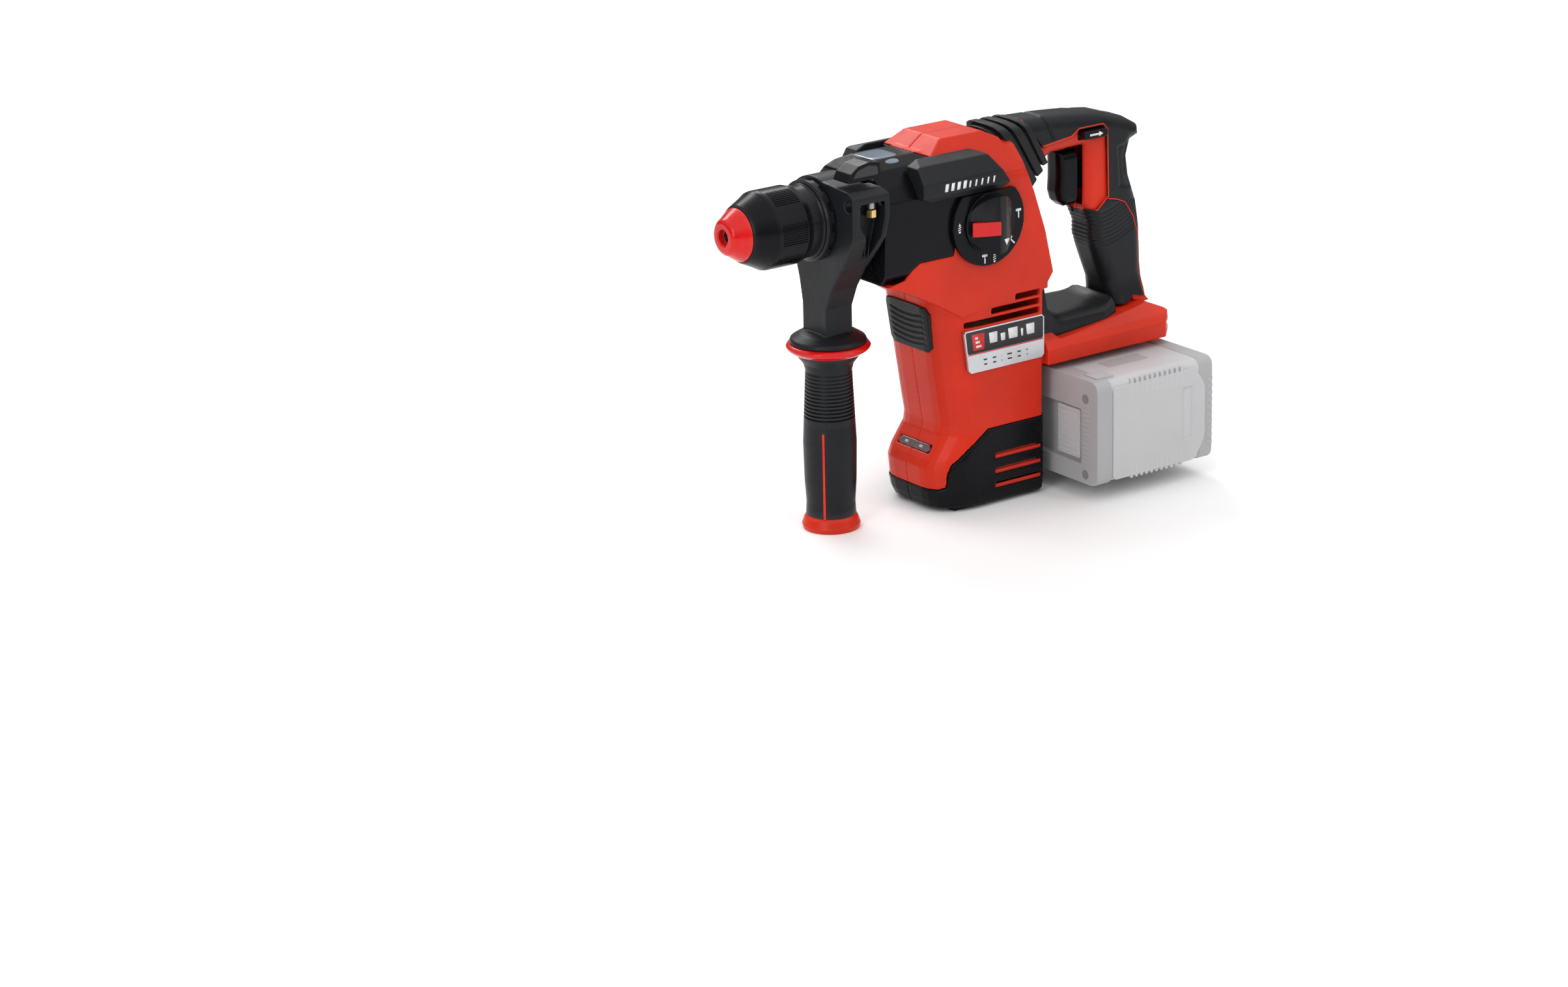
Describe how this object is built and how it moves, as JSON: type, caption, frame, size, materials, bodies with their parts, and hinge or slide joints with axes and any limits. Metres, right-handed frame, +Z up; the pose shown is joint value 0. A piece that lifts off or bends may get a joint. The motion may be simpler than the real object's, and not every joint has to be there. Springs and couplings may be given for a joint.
{
  "type": "rotary hammer",
  "caption": "Cordless rotary hammer with quick-change bit holder, mode dial, side handle, sprung rear D-handle with trigger, and a battery pack on each side.",
  "frame": {"origin": "mouth of the bit socket, on the spindle axis", "axes": "+Z up when the tool stands on its base; the spindle points along -X; +Y is the tool's right side seen from behind"},
  "size_m": [0.3701, 0.17, 0.266],
  "materials": {
    "black_plastic": "fine-textured glass-filled plastic",
    "black_rubber": "soft overmould, matt",
    "board_green": "circuit board",
    "brass_metal": "turned",
    "cast_aluminium": "as cast",
    "copper_winding": "laminations with copper windings",
    "gear_steel": "hardened, oiled",
    "lens": "clear",
    "pack_grey": "light grey moulded plastic",
    "pack_latch": "light grey moulded plastic",
    "plate_print": "printed foil",
    "red_plastic": "fine-textured moulded plastic",
    "red_rubber": "satin",
    "steel": "ground"
  },
  "bodies": {
    "housing": {"housing_left": "red_plastic", "housing_right": "red_plastic", "gear_housing": "black_plastic", "bumper_left": "black_rubber", "bumper_right": "black_rubber", "base_skirt_left": "black_plastic", "base_skirt_right": "black_plastic", "front_pad": "black_rubber", "lamp_lens": "lens", "rating_plate": "plate_print", "dial_plate": "black_plastic", "opening_lining": "black_rubber", "battery_rail_plate": "pack_grey", "inner_frame": "cast_aluminium", "motor_stator": "copper_winding", "controller_board": "board_green", "spindle_bearings": "steel", "motor_bearings": "steel", "shaft_bearings": "steel", "handle_pivot_pin": "steel", "bellows": "black_rubber", "housing_screws": "steel"},
    "spindle": {"spindle": "steel", "locking_balls": "steel", "dust_cap": "red_rubber", "chuck_body": "black_plastic", "spindle_gear": "gear_steel"},
    "locking_sleeve": {"locking_sleeve": "black_plastic"},
    "release_ring": {"release_ring": "black_plastic"},
    "beat_piece": {"beat_piece": "steel"},
    "ram": {"ram": "steel", "ram_seal": "black_rubber"},
    "piston": {"piston": "cast_aluminium", "conrod": "cast_aluminium", "crank_pin": "steel"},
    "rotor": {"motor_rotor": "gear_steel", "motor_fan": "black_plastic"},
    "crank": {"crank_gear": "gear_steel"},
    "bevel_shaft": {"bevel_shaft": "gear_steel"},
    "mode_dial": {"mode_dial": "black_plastic"},
    "dial_lock": {"dial_lock_button": "red_rubber"},
    "rear_handle": {"handle_left": "red_plastic", "handle_right": "red_plastic", "handle_grip": "black_rubber", "switch_module": "black_plastic", "trigger_spring": "steel"},
    "trigger": {"trigger": "black_plastic"},
    "direction_switch": {"direction_switch": "black_plastic"},
    "side_handle": {"handle_bracket": "black_plastic", "clamp_bolt": "steel", "depth_stop_nut": "brass_metal"},
    "side_grip": {"grip_core": "red_plastic", "grip_cover": "black_rubber", "hand_guard": "red_rubber"},
    "depth_stop_button": {"depth_stop_button": "black_plastic"},
    "battery_left": {"battery_left": "pack_grey"},
    "battery_right": {"battery_right": "pack_grey"},
    "latch_left": {"battery_latch_left": "pack_latch"},
    "latch_right": {"battery_latch_right": "pack_latch"}
  },
  "joints": [
    {"name": "motor_spin", "type": "hinge", "parent": "housing", "child": "rotor", "pos_m": [0.1995, 0, -0.11], "axis": [0, 0, 1], "continuous": true},
    {"name": "crank_spin", "type": "hinge", "parent": "housing", "child": "crank", "pos_m": [0.172, 0, -0.036], "axis": [0, 0, 1], "continuous": true},
    {"name": "bevel_shaft_spin", "type": "hinge", "parent": "housing", "child": "bevel_shaft", "pos_m": [0.147, 0, -0.033], "axis": [0, 0, 1], "continuous": true},
    {"name": "spindle_spin", "type": "hinge", "parent": "housing", "child": "spindle", "pos_m": [0.1, 0, 0], "axis": [1, 0, 0], "continuous": true},
    {"name": "locking_sleeve_slide", "type": "slide", "parent": "spindle", "child": "locking_sleeve", "axis": [1, 0, 0], "range_m": [0, 0.008], "stiffness_N_per_m": 900},
    {"name": "release_ring_turn", "type": "hinge", "parent": "spindle", "child": "release_ring", "pos_m": [0.066, 0, 0], "axis": [1, 0, 0], "range_deg": [0, 25], "stiffness_Nm_per_rad": 0.4},
    {"name": "piston_stroke", "type": "slide", "parent": "housing", "child": "piston", "axis": [1, 0, 0], "range_m": [0, 0.022]},
    {"name": "ram_stroke", "type": "slide", "parent": "housing", "child": "ram", "axis": [1, 0, 0], "range_m": [0, 0.0154]},
    {"name": "beat_piece_slide", "type": "slide", "parent": "housing", "child": "beat_piece", "axis": [-1, 0, 0], "range_m": [0, 0.008]},
    {"name": "mode_dial_turn", "type": "hinge", "parent": "housing", "child": "mode_dial", "pos_m": [0.188, -0.045, -0.014], "axis": [0, 1, 0], "range_deg": [-135, 50]},
    {"name": "dial_lock_press", "type": "slide", "parent": "mode_dial", "child": "dial_lock", "axis": [0, 1, 0], "range_m": [0, 0.002], "stiffness_N_per_m": 500},
    {"name": "handle_damping", "type": "hinge", "parent": "housing", "child": "rear_handle", "pos_m": [0.336, 0, -0.112], "axis": [0, 1, 0], "range_deg": [-1.5, 0], "stiffness_Nm_per_rad": 250, "deforming": ["bellows"]},
    {"name": "trigger_press", "type": "slide", "parent": "rear_handle", "child": "trigger", "axis": [1, 0, 0], "range_m": [0, 0.008], "stiffness_N_per_m": 900, "deforming": ["trigger_spring"]},
    {"name": "direction_switch_push", "type": "slide", "parent": "rear_handle", "child": "direction_switch", "axis": [0, 1, 0], "range_m": [0, 0.006]},
    {"name": "side_handle_swivel", "type": "hinge", "parent": "housing", "child": "side_handle", "pos_m": [0.081, 0, 0], "axis": [1, 0, 0], "range_deg": [-100, 0]},
    {"name": "side_grip_twist", "type": "hinge", "parent": "side_handle", "child": "side_grip", "pos_m": [0.081, 0, -0.15], "axis": [0, 0, 1], "range_deg": [0, 360]},
    {"name": "depth_stop_press", "type": "slide", "parent": "side_handle", "child": "depth_stop_button", "axis": [0, 1, 0], "range_m": [0, 0.003], "stiffness_N_per_m": 500},
    {"name": "battery_left_slide", "type": "slide", "parent": "housing", "child": "battery_left", "axis": [1, 0, 0], "range_m": [0, 0.11]},
    {"name": "battery_right_slide", "type": "slide", "parent": "housing", "child": "battery_right", "axis": [1, 0, 0], "range_m": [0, 0.11]},
    {"name": "latch_left_press", "type": "slide", "parent": "battery_left", "child": "latch_left", "axis": [0, 0, -1], "range_m": [0, 0.0015], "stiffness_N_per_m": 500},
    {"name": "latch_right_press", "type": "slide", "parent": "battery_right", "child": "latch_right", "axis": [0, 0, -1], "range_m": [0, 0.0015], "stiffness_N_per_m": 500}
  ],
  "couplings": [
    {"joint": "crank_spin", "follows": "motor_spin", "ratio": -0.22222},
    {"joint": "bevel_shaft_spin", "follows": "motor_spin", "ratio": 0.14815},
    {"joint": "spindle_spin", "follows": "motor_spin", "ratio": -0.049383},
    {"joint": "ram_stroke", "follows": "piston_stroke", "ratio": 0.7}
  ]
}
